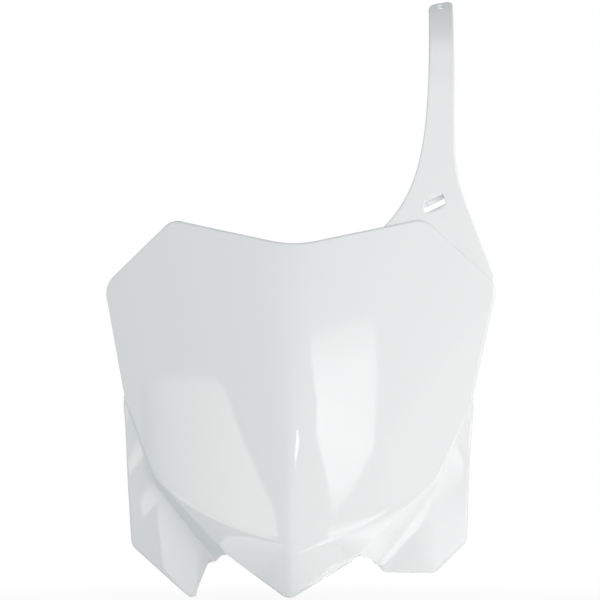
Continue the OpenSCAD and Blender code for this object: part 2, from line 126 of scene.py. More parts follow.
STRAP = (
    ("strap_w", 15.6, "Strap width", "Width of the strap along its upper part"),
    ("strap_at", 97.1, "Strap place", "Place of the strap's middle, sideways from the keel"),
    ("strap_top", 380, "Strap height", "Height of the strap's end above the base"),
    ("root_left", 24, "Root flare", "How far the root flares towards the keel"),
    ("root_fade", 30, "Root flare height", "Height over which that flare fades"),
    ("root_step", 1.5, "Root step", "How far the strap's face sits behind the shield's"),
    ("root_blend", 34, "Root blend", "Height over which the root's face turns into the strap's"),
    ("root_start", 26, "Root start", "Height above the crown where the outer edge turns out"),
    ("root_soft", 7.5, "Root turn", "Length over which the outer edge turns out"),
    ("strap_bend", 92, "Strap bend", "Radius of the bend that carries the strap over"),
    ("bend_h", 316, "Bend start", "Height of that bend's start above the base"),
    ("strap_edge", 1.0, "Strap edge", "Rounding of the strap's edges"),
    ("strap_end_r", 4, "End rounding", "Rounding of the strap's end corners"),
    ("button_d", 4.6, "Button hole", "Diameter of the button hole near the strap's end"),
    ("button_in", 5, "Button hole place", "Distance of that hole from the strap's end"),
    ("slot_l", 15, "Slot length", "Length of the slot in the root"),
    ("slot_w", 7.4, "Slot width", "Width of the slot in the root"),
    ("slot_rise", 10, "Slot height", "Height of the slot's middle above the upper corners"),
    ("slot_in", 5.5, "Slot place", "How far the slot's middle lies inwards of the strap's"),
    ("tongue_w", 3.2, "Tongue width", "Width of the tongue behind the slot"),
    ("tongue_up", 1.2, "Tongue place", "How far the tongue lies above the slot's middle"),
    ("tongue_t", 2.2, "Tongue thickness", "Thickness of the tongue"),
    ("tongue_gap", 2.0, "Tongue gap", "Space between the strap's back and the tongue"),
)
SHELF = (
    ("shelf_w", 34, "Shelf width", "Width of the shelf for the clamp bolt"),
    ("shelf_l", 34, "Shelf reach", "Reach of the shelf behind the keel"),
    ("shelf_t", 3, "Shelf thickness", "Thickness of the shelf"),
    ("shelf_h", 132, "Shelf height", "Height of the shelf's underside above the base"),
    ("shelf_end_r", 9, "Shelf rounding", "Rounding of the shelf's rear corners"),
    ("bolt_d", 6.6, "Bolt hole", "Diameter of the clamp bolt's hole"),
    ("bolt_in", 12, "Bolt hole place", "Distance of that hole from the shelf's rear end"),
    ("boss_d", 15, "Boss", "Diameter of the boss round that hole"),
    ("boss_h", 2, "Boss height", "Height of that boss above the shelf"),
    ("web_h", 20, "Web height", "Height of the webs that stiffen the shelf"),
    ("web_t", 2.4, "Web thickness", "Thickness of those webs"),
)
# Slopes have no unit; leans and slants are in degrees
SLOPES = (
    ("flank_slope", 0.17, "Flank slope", "Slope of the flanks beside the keel"),
    ("outer_slope", 0.31, "Shoulder slope", "Slope of the flanks at the shoulders"),
    ("chin_slope", 0.2, "Chin slope", "Slope by which the chin rolls under"),
    ("root_slope", 0.39, "Root slope", "Slope of the strap root's outer edge"),
)
TURNS = (
    ("face_lean", -1.6, "Face lean", "Lean of the face at the base, forwards below zero"),
    ("step_angle", 52, "Step slant", "Slant of the step's wall from the face"),
    ("lip_angle", 84, "Lip slant", "Slant of the wall below the lip"),
    ("fold_angle", 32, "Fold slant", "Slant of the left wing's folded inner edge"),
    ("strap_yaw", 10, "Strap turn", "Turn of the strap's face about the upright"),
    ("strap_lean", 7, "Strap lean", "Lean of the strap's lower part"),
    ("end_slant", 17, "End slant", "Slant of the strap's end"),
    ("slot_slant", 26, "Slot slant", "Slant of the slot"),
)
# Softboxes: name, azimuth and elevation seen from the board (degrees), distance, width and height (m),
# watts and colour
SOFTBOXES = (
    ("key_softbox", 62, 4, 3.2, 1.7, 1.7, 46, (1.0, 0.9, 0.885)),
    ("fill_softbox", -86, 2, 3.2, 1.7, 2.2, 6.5, (0.5, 0.93, 1.0)),
)
# Cards that the glossy face mirrors, at distance FAR (m): name, colour, and rows across the card with the
# azimuth and elevation of its left and right end (degrees), and the brightness of both
FAR = 3.3
WHITE = (1.0, 1.0, 1.0)
FAR_CARDS = (
    ("window_card", WHITE, (
        (3.1, 9.6, 15.1, 7.5, 1.55, 2.07), (6.1, 7.1, 16.2, 5, 3.31, 3.11), (9.6, 4, 16.8, 2.8, 4.34, 3.31),
        (10.2, 2.3, 17.3, 0.6, 4.45, 3.52), (12.6, -0.3, 15.7, -0.6, 3.9, 3.2),
        (13.4, -1.3, 14, -1.2, 2.4, 2.4),
    )),
    ("top_card", WHITE, tuple(
        (4, e, 22, e, glow, glow)
        for e, glow in ((36, 0.69), (48, 1.39), (57, 1.73), (64, 1.3), (71, 0.61), (79, 0.09))
    )),
    ("streak_card", WHITE, (
        (2.2, 3.3, 2.8, 3.2, 6.91, 6.91), (1.8, 2.7, 5.2, 2.3, 6.91, 6.91), (1, 2, 4.9, 1.7, 6.91, 6.91),
        (2.6, 1.4, 3, 1.2, 6.91, 6.91),
    )),
    ("right_card", (1.0, 1.0, 0.99), (
        (18.3, 0.7, 18.4, 0.6, 1.44, 1.44), (20.3, 2, 18.6, -1.2, 1.44, 1.44),
        (22.3, 3.3, 20.8, -3.2, 1.44, 1.44), (25.3, 5.3, 26, -3.4, 1.44, 1.44), (34, 7, 36, -3.4, 1.3, 1.3),
    )),
    ("low_card", WHITE, (
        (13.2, -1.9, 13.3, -3.5, 2.16, 2.16), (15.7, -2.2, 15.7, -3.5, 2.16, 2.16),
        (18.2, -3.1, 18.2, -3.5, 2.16, 2.16),
    )),
    ("left_card", (1.0, 0.94, 0.88), (
        (-44, 1.5, -44.5, -3, 0, 0), (-42.8, 2.1, -43.3, -3.2, 1.2, 1.2), (-41.5, 2.6, -42, -3.3, 2.03, 2.14),
        (-38.8, 3.2, -38, -3.3, 2.36, 3.11), (-36.1, 3.7, -35.6, -3.4, 2.78, 3.65),
        (-35, 3.2, -34, -3.4, 3.01, 3.65), (-33.9, 1.3, -33, -3.4, 3.43, 3.53),
        (-31.7, -0.5, -30, -3.4, 3.43, 3.21), (-29.6, -1.2, -27.9, -3.2, 3.21, 3.21),
    )),
)
# Cards that lie on the floor in front of the board: name, height above the floor (mm), colour, and rows with
# x and y of the left and right end (m), and the brightness of both
FLOOR_CARDS = (
    ("left_bounce_card", 1, WHITE, (
        (-1.3, -0.035, 0, -0.035, 0.6, 0.6), (-1.3, -2.3, 0, -2.3, 0.6, 0.6),
    )),
    ("right_bounce_card", 1, WHITE, (
        (0, -0.035, 1.3, -0.035, 0.9, 0.9), (0, -2.3, 1.3, -2.3, 0.9, 0.9),
    )),
    ("sliver_card", 3, WHITE, (
        (0.021, -0.122, 0.024, -0.121, 4.2, 4.2), (0.037, -0.146, 0.041, -0.143, 4.2, 4.2),
        (0.06, -0.2, 0.056, -0.178, 4.4, 4.4), (0.09, -0.3, 0.088, -0.231, 4, 4),
        (0.147, -0.499, 0.15, -0.365, 2.4, 2.2), (0.27, -1.05, 0.4, -0.98, 3.6, 3.6),
        (0.76, -3.2, 1.15, -3.1, 3.6, 3.6),
    )),
    ("tip_card", 2, WHITE, (
        (0.02, 0.06, 0.1, 0.06, 2.6, 2.6), (0.02, -0.05, 0.1, -0.05, 2.6, 2.6),
        (0.05, -0.078, 0.1, -0.078, 2.6, 2.6),
    )),
    ("inner_wing_card", 2, WHITE, (
        (0.066, -0.078, 0.1, -0.078, 0, 2.6), (0.07, -0.165, 0.105, -0.165, 0, 2.6),
        (0.085, -0.21, 0.115, -0.21, 0.9, 2.6), (0.1, -0.27, 0.13, -0.27, 1.7, 2.5),
        (0.125, -0.365, 0.15, -0.365, 1.7, 2),
    )),
    ("right_wing_card", 2, WHITE, (
        (0.1, 0.06, 0.42, 0.06, 2, 2), (0.1, -0.02, 0.42, -0.02, 2, 2), (0.1, -0.078, 0.42, -0.078, 3.4, 3),
        (0.105, -0.165, 0.45, -0.165, 3.2, 2.6), (0.115, -0.21, 0.5, -0.21, 2.8, 2),
        (0.13, -0.27, 0.5, -0.27, 2.3, 1.7), (0.15, -0.365, 0.5, -0.365, 1.7, 1.4),
        (0.25, -0.7, 0.75, -0.7, 1.1, 1), (0.4, -0.98, 1, -0.98, 0.8, 0.8),
    )),
    ("wing_card", 2, (1.0, 0.99, 0.98), (
        (-0.08, 0.03, -0.05, 0.03, 2.4, 2), (-0.127, -0.08, -0.055, -0.06, 2.7, 1.2),
        (-0.165, -0.152, -0.07, -0.13, 2.8, 1.4), (-0.196, -0.216, -0.1, -0.2, 2.8, 1.4),
        (-0.259, -0.34, -0.13, -0.3, 2.8, 1.4), (-0.275, -0.395, -0.18, -0.4, 2.2, 1.4),
        (-0.3, -0.44, -0.2, -0.45, 0.6, 0.9), (-0.5, -0.72, -0.3, -0.8, 0.3, 0.8),
        (-0.745, -0.845, -0.56, -0.99, 0.8, 0.8),
    )),
    ("left_floor_card", 2, (1.0, 0.92, 0.85), (
        (-0.75, -0.85, -0.55, -1, 3.19, 3.19), (-1.3, -1.25, -1, -1.7, 3.19, 3.19),
        (-2.2, -2.2, -1.6, -2.7, 3.19, 3.19),
    )),
)


def sizes(rows, scale=1, **kind):
    """Number properties from rows, with each value times a scale."""
    return {
        key: FloatProperty(name=label, description=text, default=value * scale, **kind)
        for key, value, label, text in rows
    }


MILLIMETRE, DEGREE = 0.001, math.radians(1)


class BoardShieldSizes(bpy.types.PropertyGroup):
    """Sizes of the shield with its chin and tip."""

    __annotations__ = sizes(SHIELD, MILLIMETRE, unit="LENGTH")


class BoardWingSizes(bpy.types.PropertyGroup):
    """Sizes of the lower edge, the wings and the notches."""

    __annotations__ = sizes(WINGS, MILLIMETRE, unit="LENGTH")


class BoardStrapSizes(bpy.types.PropertyGroup):
    """Sizes of the strap, its two holes and the tongue."""

    __annotations__ = sizes(STRAP, MILLIMETRE, unit="LENGTH")


class BoardShelfSizes(bpy.types.PropertyGroup):
    """Sizes of the clamp shelf."""

    __annotations__ = sizes(SHELF, MILLIMETRE, unit="LENGTH")


class BoardSlopes(bpy.types.PropertyGroup):
    """Slopes and angles of the whole board."""

    __annotations__ = {**sizes(SLOPES), **sizes(TURNS, DEGREE, subtype="ANGLE")}


class BoardFinish(bpy.types.PropertyGroup):
    """Looks of the moulded plastic."""

    white: FloatVectorProperty(
        name="White", description="Colour of the plastic", subtype="COLOR", default=(0.812, 0.828, 0.83),
    )
    gloss: FloatProperty(name="Roughness", description="Roughness of the polished face", default=0.035)
    dull: FloatProperty(name="Back roughness", description="Roughness of the moulded back", default=0.34)


class BoardStudio(bpy.types.PropertyGroup):
    """Place of the camera and the strength of the light."""

    distance: FloatProperty(
        name="Camera distance", description="From the board to the camera", default=3.0, unit="LENGTH",
    )
    azimuth: FloatProperty(
        name="Camera side", description="Turn of the camera to the board's right",
        default=math.radians(10), subtype="ANGLE",
    )
    level: FloatProperty(name="Light level", description="Strength of all the lamps together", default=1.0)


# Shapes, in millimetres: x to the viewer's right from the keel, depth behind the front and z up from the base


def ease(t):
    """Smooth step, 3t^2 - 2t^3 with t held between 0 and 1."""
    c = np.clip(t, 0, 1)
    return c * c * (3 - 2 * c)


def soft(t, k):
    """Soft ramp, k ln(1 + e^(t/k)): 0 far below zero and t far above it."""
    return k * np.logaddexp(0, np.asarray(t) / k)


def mix(a, b, t):
    """Straight blend from a to b, a + (b - a) t."""
    return a + (b - a) * t


def unit(v):
    """Vectors of length one along the last axis."""
    return v / np.maximum(np.linalg.norm(v, axis=-1, keepdims=True), 1e-12)


def arc(a, p, b, r, n=24):
    """Arc of radius r that rounds the corner p between its neighbours a and b.

    Its centre lies on the corner's bisector, at r over the sine of half the corner's angle.
    """
    a, p, b = (np.asarray(v, float) for v in (a, p, b))
    u, v = unit(a - p), unit(b - p)
    half = math.acos(float(u @ v)) / 2
    c = p + unit(u + v) * r / math.sin(half)
    start, end = p + u * r / math.tan(half) - c, p + v * r / math.tan(half) - c
    turn = math.copysign(math.pi - 2 * half, start[0] * end[1] - start[1] * end[0])
    angle = math.atan2(start[1], start[0]) + turn * np.linspace(0, 1, n + 1)
    return c + r * np.stack([np.cos(angle), np.sin(angle)], -1)


def marks(points):
    """Lengths along a run of points."""
    return np.concatenate([[0], np.cumsum(np.linalg.norm(np.diff(points, axis=0), axis=1))])


def along(points, share):
    """Points at the given shares of the whole length of a run."""
    m = marks(points)
    return np.stack([np.interp(np.asarray(share) * m[-1], m, points[:, k]) for k in (0, 1)], -1)


def shares(points, step):
    """Even shares of a run's length, about one step apart, with both ends."""
    return np.linspace(0, 1, max(2, int(round(marks(points)[-1] / step)) + 1))


def rounded_run(points, radii):
    """Run through points, with the corners between its ends rounded by arcs of these radii."""
    arcs = [arc(*points[k:k + 3], r) for k, r in enumerate(radii)]
    return np.vstack([points[:1], *arcs, points[-1:]])


def rounded(corners, r, n):
    """Closed outline with each of its corners rounded by an arc of radius r."""
    count = len(corners)
    return np.vstack([
        arc(corners[k - 1], corners[k], corners[(k + 1) % count], r, n) for k in range(count)
    ])


class Board:
    """The board's shape, with each size as a plain number in millimetres or radians."""

    def __init__(self, scene):
        groups = (scene.board_shield, scene.board_wings, scene.board_strap, scene.board_shelf)
        for group, rows in zip(groups, (SHIELD, WINGS, STRAP, SHELF)):
            for row in rows:
                setattr(self, row[0], getattr(group, row[0]) * 1000)
        for row in SLOPES + TURNS:
            setattr(self, row[0], getattr(scene.board_slopes, row[0]))
        self.slot_h = self.crown_h + self.slot_rise
        # The shield's grid spreads from its heart to a band inside its edge
        self.heart = np.array([0, 0.48 * self.crown_h])
        self.band = 5.5
        self.bolt_at = self.shelf_l - self.bolt_in
        self.bend_out = (self.flank_slope - self.outer_slope) / self.shoulder_w

    # The face of the shield as depth behind the keel

    def keel(self, x, z):
        """Rounded distance from the keel, sqrt(x^2 + c^2) - c, c growing with height squared."""
        low = 1.6 * self.chin_h
        c = mix(self.keel_low, self.keel_top, np.clip((z - low) / (self.dip_h - low), 0, 1.1) ** 2)
        return np.sqrt(x * x + c * c) - c

    def flank(self, x, z):
        """Depth of the flanks: a slope times r, and a square that steepens it to the shoulders' slope."""
        r = self.keel(x, z)
        return self.flank_slope * r - self.bend_out * r * r

    def lean(self, z):
        """Depth from the lean of the face at the base and the square of the height."""
        return math.tan(self.face_lean) * z + self.top_lean * (z / self.crown_h) ** 2

    def chin(self, x, z):
        """Depth of the chin, a slope below its V-shaped crest, less the flare that fades above it.

        The crest climbs from the keel to the cheeks by a third of the share of the way out and two thirds
        of its square.
        """
        t = (np.sqrt(x * x + self.crest_r**2) - self.crest_r) / (self.cheek_w / 2)
        up = z - mix(self.chin_h, self.cheek_h, t / 3 + 2 * t * t / 3)
        flare_half = 0.3 * self.shoulder_w
        fade = np.exp(-((x / flare_half) ** 2) - soft(up, self.chin_blend) / self.flare_h)
        return self.chin_slope * soft(-up, self.chin_blend) - self.flare * fade

    def face(self, x, z):
        """Depth of the shield's face."""
        return self.flank(x, z) + self.lean(z) + self.chin(x, z)

    # Outline: where the shield's lower edge runs, and where the wings end

    def runs(self):
        """Lower edge of the shield's right side, and outlines of lip, right wing, upper edge and left wing.

        The left wing's is drawn on the right side.
        """
        s = self
        tip, lip = [-s.tip_side, -s.tip_drop], [s.lip_w / 2, s.lip_h]
        cheek, waist = [s.cheek_w / 2, s.cheek_h], [s.waist_w / 2, s.waist_h]
        shoulder, crown, dip = [s.shoulder_w / 2, s.shoulder_h], [s.crown_w / 2, s.crown_h], [0, s.dip_h]
        beyond = [[-x, z] for x, z in (crown, shoulder, waist)]
        beside_lip = [lip[0] + 1.5, lip[1]]
        lower = rounded_run([waist, cheek, lip], [s.cheek_r])
        radii = [s.shoulder_r, s.crown_r, s.dip_r, s.crown_r, s.shoulder_r]
        upper = rounded_run([waist, shoulder, crown, dip, *beyond], radii)
        bottom = rounded_run([[-lip[0], lip[1]], tip, lip], [s.tip_r])
        out, foot = [s.wing_half, s.wing_h], [s.foot_out, s.foot_h]
        toe, neck = [s.foot_in, s.foot_h], [lip[0] + s.notch_right, s.lip_h - s.neck_right]
        r = s.wing_r
        right = rounded_run([waist, out, foot, toe, neck, beside_lip], [r, r / 2, r / 2, r / 2])
        out, point = [s.wing_half, s.wing_h - s.wing_drop], [s.point_half, s.point_h]
        neck, rise = [lip[0] + s.notch_left, s.lip_h - s.neck_left], [lip[0] + 0.4 * s.notch_left, s.lip_h]
        left = rounded_run([waist, out, point, neck, rise, beside_lip], [r, r / 1.6, r, r / 2])
        return lower, bottom, right, upper, left

    def columns(self, step):
        """Round the board from the lip's left end by the right: edge points, outline points and shares.

        The share runs from 0 at the waist to 1 at the notch; it is -1 on the free upper edge and
        2 or more on the lip, growing by the distance from the notch in millimetres.
        """
        lower, bottom, right, upper, left = self.runs()
        at_bottom, at_right, at_upper, at_left = (shares(run, step) for run in (bottom, right, upper, left))
        from_notch = np.minimum(at_bottom, 1 - at_bottom) * marks(bottom)[-1]
        at_right, at_left = at_right[::-1][1:-1], at_left[1:-1]
        low, high = along(bottom, at_bottom), along(upper, at_upper)
        parts = (
            (low, low, 2 + from_notch),
            (along(lower, at_right), along(right, at_right), at_right),
            (high, high, np.full(len(at_upper), -1.0)),
            (along(lower, at_left) * [-1, 1], along(left, at_left) * [-1, 1], at_left),
        )
        return [np.concatenate([part[k] for part in parts]) for k in range(3)]

    def bend(self, drop, slant):
        """Measures of the bend along the lower edge, for a drop and the wall's slant.

        They are the angle of both arcs, the length at which the bend starts, the lengths from there to the
        ends of bend, wall and run-out, and how far out the wall and the run-out end.
        """
        both = self.bend_r + self.step_r
        angle = np.minimum(slant, np.arccos(np.clip(1 - drop / both, -1, 1)))
        high = np.maximum(0, drop - both * (1 - np.cos(slant))) / np.sin(slant)
        start = self.band - self.bend_r * np.sin(angle)
        a = self.bend_r * angle
        b = a + high
        wall_out = high * np.cos(angle)
        flat_out = wall_out + self.step_r * np.sin(angle)
        return angle, start, (a, b, b + self.step_r * angle), (wall_out, flat_out)

    def section(self, t, drop, slant):
        """Way out and drop at length t across the lower edge: bend arc, wall, run-out arc, flat."""
        angle, start, (a, b, c), (wall_out, flat_out) = self.bend(drop, slant)
        s = t - start
        v, w = np.clip(s / self.bend_r, 0, angle), np.clip(angle - (s - b) / self.step_r, 0, angle)
        cases = [s < 0, s < a, s < b, s < c]
        out = np.select(cases, [
            t - self.band, self.bend_r * (np.sin(v) - np.sin(angle)), (s - a) * np.cos(angle),
            wall_out + self.step_r * (np.sin(angle) - np.sin(w)),
        ], flat_out + s - c)
        down = np.select(cases, [
            np.zeros_like(s), self.bend_r * (1 - np.cos(v)),
            self.bend_r * (1 - np.cos(angle)) + (s - a) * np.sin(angle),
            drop - self.step_r * (1 - np.cos(w)),
        ], drop + np.zeros_like(s))
        return out, down

    def reach(self, d, drop, slant):
        """Length along that section where it is out at distance d from the edge, and its slant there."""
        angle, start, (a, b, c), (wall_out, flat_out) = self.bend(drop, slant)
        v = np.arcsin(np.clip(d / self.bend_r + np.sin(angle), 0, 1))
        w = np.arcsin(np.clip(np.sin(angle) - (d - wall_out) / self.step_r, 0, 1))
        cases = [d < -self.bend_r * np.sin(angle), d < 0, d < wall_out, d < flat_out]
        t = np.select(cases, [
            self.band + d, start + self.bend_r * v, start + a + d / np.cos(angle),
            start + b + self.step_r * (angle - w),
        ], start + c + d - flat_out)
        return t, np.select(cases, [np.zeros_like(d), v, angle, w], np.zeros_like(d))

    def spread(self, last, drop, slant, flat_rows):
        """Lengths of the rows across the lower edge: close together in both arcs, evenly spread elsewhere."""
        start, (a, b, c) = self.bend(drop, slant)[1:3]
        runs = ((start, 8), (a, 9), (b - a, 8), (c - b, 9))
        end, rows = np.zeros_like(last), []
        for length, count in runs:
            rows.append(end[:, None] + length[:, None] * (np.arange(1, count + 1) / count)[None, :])
            end = end + length
        rest = np.maximum(last - end, 0)
        rows.append(end[:, None] + rest[:, None] * (np.arange(1, flat_rows + 1) / flat_rows)[None, :])
        t = np.concatenate(rows, 1)
        place = np.arange(t.shape[1])
        apart, apart_at_end = 0.004, 0.02
        return np.minimum(t + apart * place, last[:, None] - apart_at_end * (len(place) - 1 - place))

    def step(self, q):
        """Drop over the edge and slant of its wall, from the share.

        The step appears over the first ninth of the way from waist to notch, and deepens from a fifth of it
        on. On the lip the wall turns steep over 4 mm beside the notch.
        """
        share = np.clip(q, 0, 1)
        drop = mix(self.step_top, self.step_low, ease((share - 0.2) / 0.75)) * ease(share * 9)
        drop = np.where(q < 0, 0, np.where(q >= 2, self.step_low, drop))
        return drop, mix(self.step_angle, self.lip_angle, ease((q - 1.9) / 4))

    def ends(self, q, out, drop, slant):
        """Length across the edge at which a column ends, an edge rounding short of the outline's way out.

        On the lip it passes over 7 mm into the whole bend and the lip's wall.
        """
        full = self.band - self.bend_r * np.sin(slant) + self.bend_r * slant + self.lip_wall
        tilt = self.reach(out - self.edge_r, drop, slant)[1]
        last = self.reach(out - self.edge_r * np.cos(tilt), drop, slant)[0]
        return np.where(q >= 2, mix(last, full, ease((q - 2) / 7)), last)

    def fold(self, q, outline, t, last):
        """Extra drop of the left wing's folded inner edge, a slope over the last fold_w of each column."""
        x, z = outline[:, 0], outline[:, 1]
        inner_side = ease((self.point_half - 1 + x) / 2.5) * ease((self.lip_h - 3 - z) / 6)
        folded = np.where((q > 0) & (q < 1) & (x < 0), inner_side, 0)[:, None]
        return folded * math.tan(self.fold_angle) * soft(t - last[:, None] + self.fold_w, 0.25)

    def shell(self, column_step, face_rows, flat_rows):
        """Front of the shield and wings as an array of columns by rows, from the heart outwards.

        Rows run straight from the heart to the band, and then over the edge along the section. Its drop
        grows from the waist to the notch, and on the lip the wall turns steep. Depth is the face up to the
        edge, and beyond it flank plus lean plus the chin's depth at the edge. The drop and the left wing's
        fold are added to that.
        """
        edge, outline, q = self.columns(column_step)
        tangent = unit(np.roll(edge, -1, 0) - np.roll(edge, 1, 0))
        for _ in range(2):
            tangent = unit(tangent + np.roll(tangent, -1, 0) + np.roll(tangent, 1, 0))
        n = np.stack([tangent[:, 1], -tangent[:, 0]], -1)
        free, lip = q < 0, q >= 2
        drop, slant = self.step(q)
        gap = outline - edge
        gap_out = (gap * n).sum(-1)
        last = self.ends(q, np.where(free | lip, 0, gap_out), drop, slant)
        to_heart = unit(self.heart - edge)
        inward = -to_heart / np.maximum(0.2, -(n * to_heart).sum(-1))[:, None]
        way_out = np.where(lip[:, None], n, gap / np.maximum(0.01, gap_out)[:, None])
        way_out = np.where(free[:, None], inward, way_out)
        rows = (np.arange(1, face_rows + 1) / face_rows) ** 0.85
        inner = edge - self.band * inward
        p = mix(self.heart, inner[:, None, :], rows[None, :, None])
        t = self.spread(last, drop, slant, flat_rows)
        s, down = self.section(t, drop[:, None], slant[:, None])
        way = np.where((s <= 0)[..., None], inward[:, None, :], way_out[:, None, :])
        r = edge[:, None, :] + way * s[..., None]
        x, z = r[..., 0], r[..., 1]
        down = down + self.fold(q, outline, t, last)
        chin = self.chin(edge[:, 0], edge[:, 1])[:, None]
        deep = np.where(s <= 0, self.face(x, z), self.flank(x, z) + self.lean(z) + chin)
        return np.concatenate([
            np.stack([p[..., 0], self.face(p[..., 0], p[..., 1]), p[..., 1]], -1),
            np.stack([x, deep + down, z], -1),
        ], axis=1)

    # The strap, in its own upright plane: u across it, h back from it and z up

    def at_slot(self, x, y):
        """Turns places along and across the slot into u and z."""
        c, s = math.cos(self.slot_slant), math.sin(self.slot_slant)
        return self.strap_at - self.slot_in + x * c - y * s, self.slot_h + x * s + y * c

    def to_board(self, u, h, z):
        """Turns places in the strap's plane into places on the board, about the upright by strap_yaw."""
        c, s = math.cos(self.strap_yaw), math.sin(self.strap_yaw)
        return np.stack(np.broadcast_arrays(u * c - h * s, u * s + h * c, z), -1)

    def face_in_plane(self, u, z):
        """Depth of the shield's face along the strap's h, read with a usual h in place of the true one."""
        c, s = math.cos(self.strap_yaw), math.sin(self.strap_yaw)
        usual_h = 5
        x = u * c - usual_h * s
        return self.face(x, z) * c - x * s

    def strap_angle(self, z):
        """Lean of the strap at a height: even, then its sine grows by the height over the bend's radius."""
        lean = math.sin(self.strap_lean)
        return np.arcsin(np.minimum(0.97, lean + np.maximum(0, z - self.bend_h) / self.strap_bend))

    def sheet(self, u, z):
        """Front of the strap: the shield's face near the root, then a leaning band that bends on a circle."""
        start = self.face_in_plane(self.strap_at, self.crown_h) + self.root_step
        low = start + math.tan(self.strap_lean) * soft(np.minimum(z, self.bend_h) - self.crown_h, 6)
        bend = self.strap_bend * (math.cos(self.strap_lean) - np.cos(self.strap_angle(z)))
        root = self.face_in_plane(u, z) + self.root_step
        return mix(root, low + bend, ease((z - self.crown_h) / self.root_blend))

    def sheet_points(self, u, z):
        """Places on the strap's front, in its plane, and the normals there, from small differences."""
        e = 0.05
        du = (self.sheet(u + e, z) - self.sheet(u - e, z)) / (2 * e)
        dz = (self.sheet(u, z + e) - self.sheet(u, z - e)) / (2 * e)
        return np.stack([u, self.sheet(u, z), z], -1), unit(np.stack([du, -np.ones_like(du), dz], -1))

    def strap_left(self, z):
        """Edge of the strap towards the keel, with a flare that fades exponentially with height."""
        flare = self.root_left * np.exp(-(z - self.crown_h - 1) / self.root_fade)
        return self.strap_at - self.strap_w / 2 - flare

    def strap_right(self, z):
        """Outer edge of the strap, sloping out to the shoulder below a soft turn."""
        c, s = math.cos(self.strap_yaw), math.sin(self.strap_yaw)
        limit = (self.shoulder_w / 2 - self.wall) * c + self.face(self.shoulder_w / 2, self.shoulder_h) * s
        out = self.root_slope * soft(self.crown_h + self.root_start - z, self.root_soft)
        return np.minimum(limit, self.strap_at + self.strap_w / 2 + out)

    def end_height(self, u):
        """Height of the strap's slanted end, with rounded corners."""
        side = np.clip(np.abs(u - self.strap_at) - (self.strap_w / 2 - self.strap_end_r), 0, self.strap_end_r)
        round_off = self.strap_end_r - np.sqrt(self.strap_end_r**2 - side**2)
        tilt = math.tan(self.end_slant) * (u - self.strap_at) - round_off
        return self.strap_top + math.cos(float(self.strap_angle(self.strap_top))) * tilt

    def strap_grid(self, cols, rows):
        """Grid of u and z over the strap, its edges drawn in by the edge rounding."""
        a = np.linspace(0, 1, cols)[None, :]
        t = np.linspace(0, 1, rows)[:, None] ** 0.96
        overlap, clear = 9, 0.02
        low = mix(self.crown_h - overlap, self.shoulder_h, a)
        u = self.strap_at + (2 * a - 1) * (self.strap_w / 2 - clear)
        high = self.end_height(u) - 0.4 * self.strap_edge
        z = mix(low, high, t)
        u = mix(self.strap_left(z) + self.strap_edge, self.strap_right(z) - self.strap_edge, a)
        return u, z


# Mesh making


def closed_grid_faces(columns, ring, start=0):
    """Quads of a grid whose columns close on each other, ring points to a column."""
    i, j = np.meshgrid(np.arange(columns), np.arange(ring - 1), indexing="ij")
    a, b = start + i * ring + j, start + (i + 1) % columns * ring + j
    return np.stack([a, a + 1, b + 1, b], -1).reshape(-1, 4)


def rounded_plate(outline, thick, r):
    """Closed plate from a flat outline: its rims are quarter arcs of radius r at both faces."""
    d = unit(np.roll(outline, -1, 0) - np.roll(outline, 1, 0))
    n = np.stack([d[:, 1], -d[:, 0]], -1)
    v = np.linspace(0, math.pi / 2, 5)
    draw = np.concatenate([r * (1 - np.sin(v)), r * (1 - np.cos(v))])
    height = np.concatenate([r * (1 - np.cos(v)), thick - r * (1 - np.sin(v))])
    rings = outline[:, None, :] - n[:, None, :] * draw[None, :, None]
    points = np.concatenate([rings, np.broadcast_to(height[None, :, None], rings.shape[:2] + (1,))], -1)
    count, ring = points.shape[:2]
    first = np.arange(count) * ring
    faces = [closed_grid_faces(count, ring)[:, ::-1], first[None, ::-1], first[None, :] + ring - 1]
    return points.reshape(-1, 3), faces


def join(*parts):
    """Points and face arrays of several closed parts as those of one part."""
    points, faces, total = [], [], 0
    for part, part_faces in parts:
        points.append(part)
        faces += [f + total for f in part_faces]
        total += len(part)
    return np.concatenate(points), faces


def add_object(name, data):
    """New object in the scene that holds the given data."""
    thing = bpy.data.objects.new(name, data)
    bpy.context.scene.collection.objects.link(thing)
    return thing


def put_mesh(name, points, faces, inner):
    """Piece from points in millimetres and a list of face arrays, with its origin at the bolt's hole.

    The attribute inner is 0 where the moulding is polished and 1 where it is dull.
    """
    shelf = bpy.context.scene.board_shelf
    origin = np.array([0, shelf.shelf_l - shelf.bolt_in, shelf.shelf_h])
    mesh = bpy.data.meshes.new(name)
    loops = np.concatenate([f.reshape(-1) for f in faces]).astype(np.int32)
    sizes = np.concatenate([np.full(len(f), f.shape[1]) for f in faces])
    mesh.vertices.add(len(points))
    mesh.vertices.foreach_set("co", (points / 1000 - origin).astype(np.float32).ravel())
    mesh.loops.add(len(loops))
    mesh.loops.foreach_set("vertex_index", loops)
    mesh.polygons.add(len(sizes))
    starts = np.concatenate([[0], np.cumsum(sizes)[:-1]]).astype(np.int32)
    mesh.polygons.foreach_set("loop_start", starts)
    mesh.update(calc_edges=True)
    mesh.validate()
    mesh.polygons.foreach_set("use_smooth", np.ones(len(mesh.polygons), bool))
    layer = mesh.attributes.new("inner", "FLOAT", "POINT")
    layer.data.foreach_set("value", np.asarray(inner, np.float32))
    mesh.materials.append(moulded_plastic())
    piece = add_object(name, mesh)
    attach(piece, "root")
    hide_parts("number_board")


# The strap's sheet with its two holes


